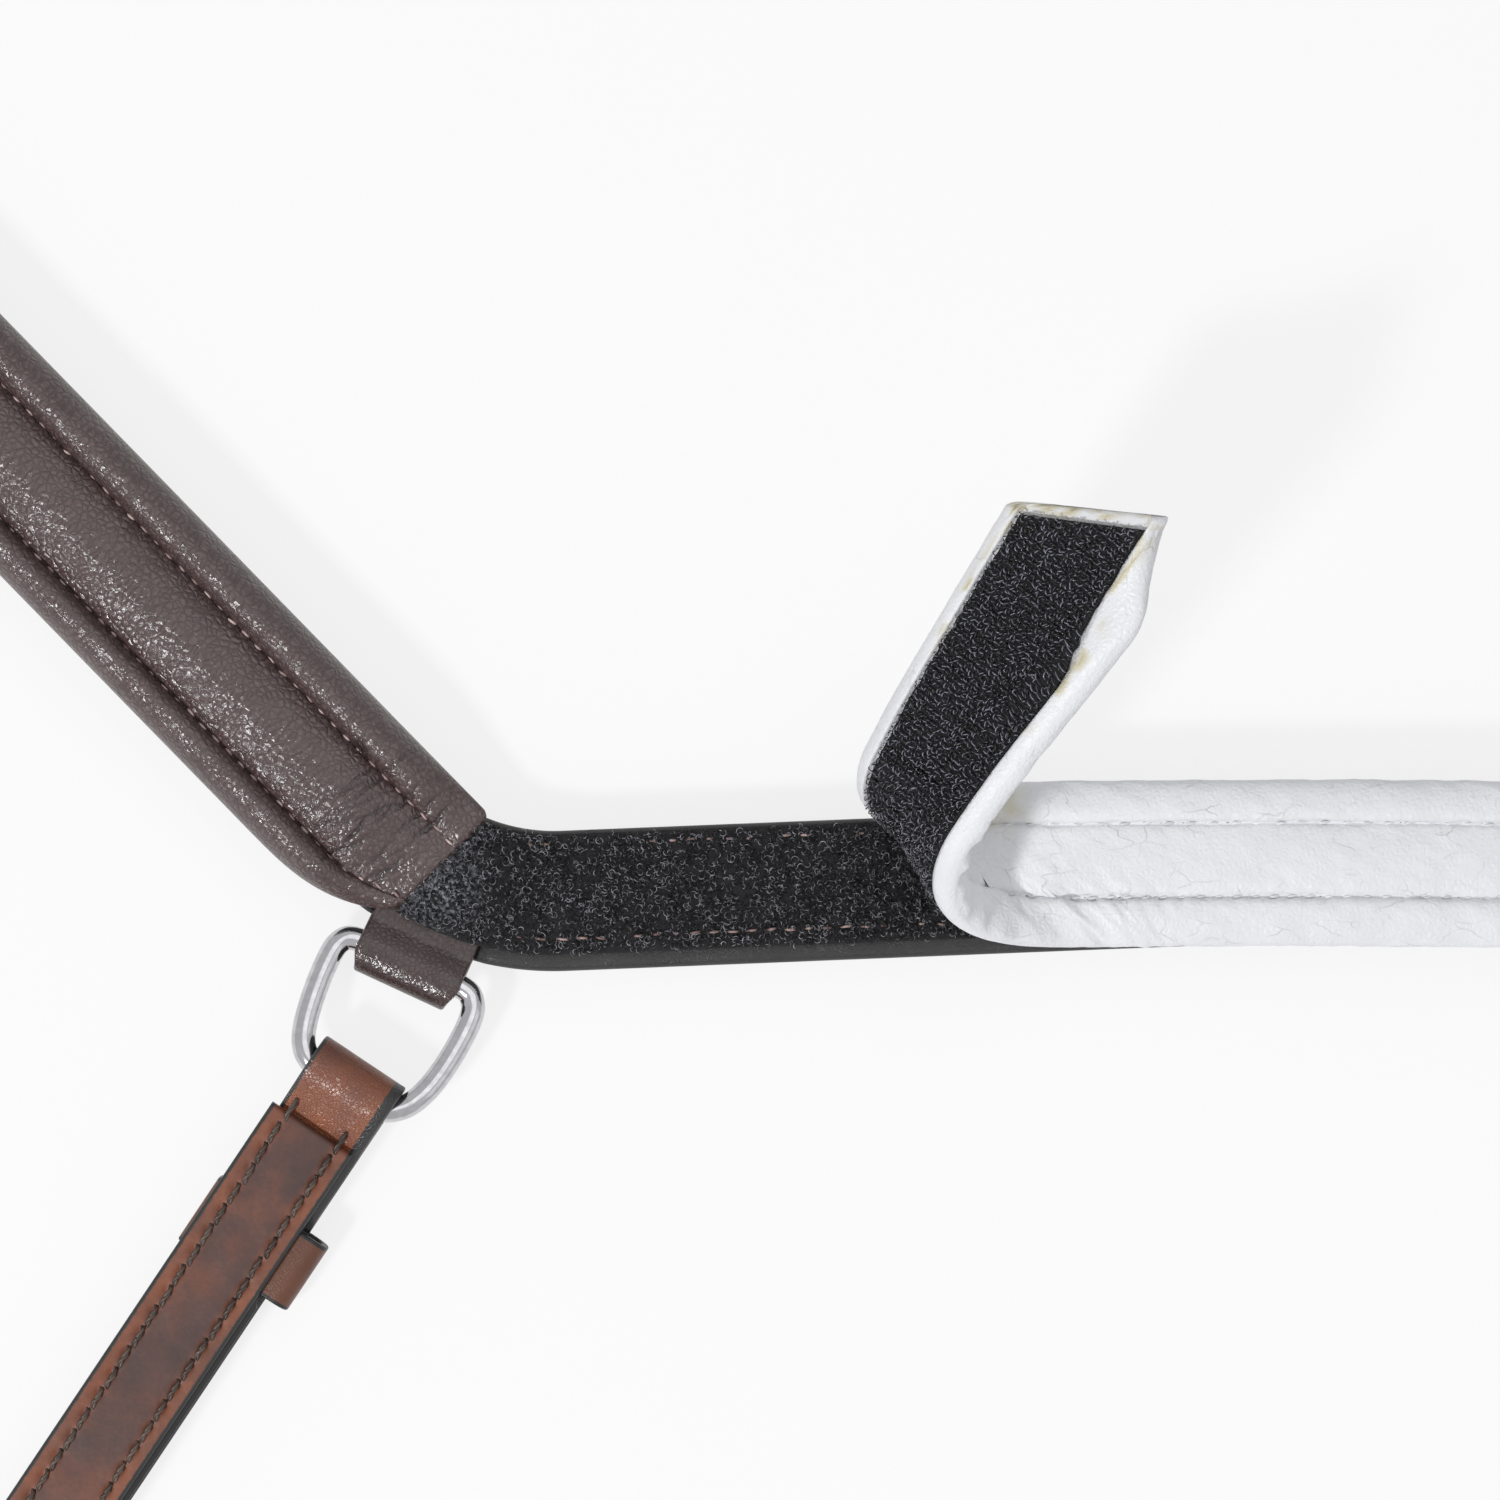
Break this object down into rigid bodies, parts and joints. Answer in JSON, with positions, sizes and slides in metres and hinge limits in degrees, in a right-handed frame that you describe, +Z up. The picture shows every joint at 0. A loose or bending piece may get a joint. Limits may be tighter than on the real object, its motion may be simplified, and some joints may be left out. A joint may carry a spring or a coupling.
{
  "type": "noseband",
  "caption": "Padded leather noseband laid flat, inner side up, with a peel-off nose pad on hook and loop tape, ring-hung buckled straps and a buckled chin closure.",
  "frame": {"origin": "middle of the nose strap's flat crown, on the surface that the noseband lies on", "axes": "+X to the horse's left seen on the laid-out inner side, along the nose strap to the buckle side; +Y towards the chin straps; +Z up, out of the inner side"},
  "size_m": [0.6057, 0.3232, 0.0526],
  "materials": {
    "black_leather": "smooth black bridle leather, satin",
    "brown_nappa": "soft dark taupe-brown padded leather with a fine pebble",
    "brown_loop_leather": "smooth dark brown leather, satin",
    "tan_leather": "waxed tan-brown leather with black edges",
    "lining_leather": "reddish dark brown leather, mottled, stitched in grey-brown thread",
    "white_nappa": "soft white padded leather, finely creased",
    "loop_pile": "black brushed nylon loops",
    "hook_pile": "black knitted tape with nylon hooks",
    "foam": "grey foam",
    "filler_leather": "raw undyed leather",
    "steel": "polished stainless steel"
  },
  "bodies": {
    "noseband": {"outer_strap": "black_leather", "strap_core": "filler_leather", "loop_tape": "loop_pile", "side_pad_left": "brown_nappa", "side_pad_right": "brown_nappa", "side_foam_left": "foam", "side_foam_right": "foam", "ring_loop_left": "brown_loop_leather", "ring_loop_right": "brown_loop_leather", "chin_point_strap": "black_leather", "chin_buckle_strap": "black_leather", "chin_keeper": "black_leather", "nose_pad_cover": "white_nappa", "nose_pad_hook_tape": "hook_pile", "nose_pad_foam": "foam"},
    "pad_fold_1": {"pad_fold_1_cover": "white_nappa", "pad_fold_1_hook_tape": "hook_pile"},
    "pad_fold_2": {"pad_fold_2_cover": "white_nappa", "pad_fold_2_hook_tape": "hook_pile"},
    "pad_fold_3": {"pad_fold_3_cover": "white_nappa", "pad_fold_3_hook_tape": "hook_pile", "pad_fold_3_foam": "foam"},
    "pad_tongue": {"pad_tongue_cover": "white_nappa", "pad_tongue_hook_tape": "hook_pile", "pad_tongue_foam": "foam"},
    "chin_buckle": {"chin_buckle": "steel"},
    "chin_prong": {"chin_prong": "steel"},
    "chin_runner": {"chin_runner": "black_leather"},
    "ring_left": {"ring_left": "steel"},
    "hanger_left": {"hanger_leather_left": "tan_leather", "hanger_lining_left": "lining_leather", "hanger_filler_left": "filler_leather", "ring_keeper_left": "tan_leather", "buckle_keeper_left": "tan_leather"},
    "hanger_buckle_left": {"hanger_buckle_left": "steel"},
    "hanger_prong_left": {"hanger_prong_left": "steel"},
    "ring_right": {"ring_right": "steel"},
    "hanger_right": {"hanger_leather_right": "tan_leather", "hanger_lining_right": "lining_leather", "hanger_filler_right": "filler_leather", "ring_keeper_right": "tan_leather", "buckle_keeper_right": "tan_leather"},
    "hanger_buckle_right": {"hanger_buckle_right": "steel"},
    "hanger_prong_right": {"hanger_prong_right": "steel"}
  },
  "joints": [
    {"name": "pad_peel_1", "type": "hinge", "parent": "noseband", "child": "pad_fold_1", "pos_m": [-0.0681, -0.00135, 0.0118], "axis": [-0.6678, 0.7443, 0], "range_deg": [-47.75, 5.7]},
    {"name": "pad_peel_2", "type": "hinge", "parent": "pad_fold_1", "child": "pad_fold_2", "pos_m": [-0.07541, -0.00018, 0.01693], "axis": [-0.5337, 0.8281, -0.1715], "range_deg": [-47.75, 5.7]},
    {"name": "pad_peel_3", "type": "hinge", "parent": "pad_fold_2", "child": "pad_fold_3", "pos_m": [-0.07773, 0.00464, 0.02418], "axis": [-0.5134, 0.7613, -0.396], "range_deg": [-47.75, 5.7]},
    {"name": "pad_peel_4", "type": "hinge", "parent": "pad_fold_3", "child": "pad_tongue", "pos_m": [-0.06692, 0.02605, 0.03642], "axis": [-0.1185, 0.9929, -0.006], "range_deg": [-9.2, 1.1]},
    {"name": "ring_swing_left", "type": "hinge", "parent": "noseband", "child": "ring_left", "pos_m": [-0.14393, -0.01614, 0.0059], "axis": [-0.9171, 0.3987, 0], "range_deg": [-90, 90]},
    {"name": "hanger_swing_left", "type": "hinge", "parent": "ring_left", "child": "hanger_left", "pos_m": [-0.15158, -0.03271, 0.00662], "axis": [0.8434, -0.5373, 0], "range_deg": [-90, 90]},
    {"name": "hanger_buckle_left_tilt", "type": "hinge", "parent": "hanger_left", "child": "hanger_buckle_left", "pos_m": [-0.22035, -0.14067, 0.00575], "axis": [0.8434, -0.5373, 0], "range_deg": [-90, 30]},
    {"name": "hanger_prong_left_lift", "type": "hinge", "parent": "hanger_buckle_left", "child": "hanger_prong_left", "pos_m": [-0.22035, -0.14067, 0.00575], "axis": [0.8434, -0.5373, 0], "range_deg": [0, 68]},
    {"name": "ring_swing_right", "type": "hinge", "parent": "noseband", "child": "ring_right", "pos_m": [0.14393, -0.01614, 0.0059], "axis": [-0.9171, -0.3987, 0], "range_deg": [-90, 90]},
    {"name": "hanger_swing_right", "type": "hinge", "parent": "ring_right", "child": "hanger_right", "pos_m": [0.15158, -0.03271, 0.00662], "axis": [0.8434, 0.5373, 0], "range_deg": [-90, 90]},
    {"name": "hanger_buckle_right_tilt", "type": "hinge", "parent": "hanger_right", "child": "hanger_buckle_right", "pos_m": [0.22035, -0.14067, 0.00575], "axis": [0.8434, 0.5373, 0], "range_deg": [-90, 30]},
    {"name": "hanger_prong_right_lift", "type": "hinge", "parent": "hanger_buckle_right", "child": "hanger_prong_right", "pos_m": [0.22035, -0.14067, 0.00575], "axis": [0.8434, 0.5373, 0], "range_deg": [0, 68]},
    {"name": "chin_buckle_tilt", "type": "hinge", "parent": "noseband", "child": "chin_buckle", "pos_m": [0.27186, 0.12238, 0.00655], "axis": [-0.6997, 0.7145, 0], "range_deg": [-90, 30]},
    {"name": "chin_prong_lift", "type": "hinge", "parent": "chin_buckle", "child": "chin_prong", "pos_m": [0.27186, 0.12238, 0.00655], "axis": [-0.6997, 0.7145, 0], "range_deg": [0, 68]},
    {"name": "chin_runner_slide", "type": "slide", "parent": "noseband", "child": "chin_runner", "axis": [0.7145, 0.6997, 0], "range_m": [-0.015, 0.002]}
  ],
  "couplings": [
    {"joint": "pad_peel_2", "follows": "pad_peel_1", "ratio": 1},
    {"joint": "pad_peel_3", "follows": "pad_peel_1", "ratio": 1},
    {"joint": "pad_peel_4", "follows": "pad_peel_1", "ratio": 0.19267}
  ]
}
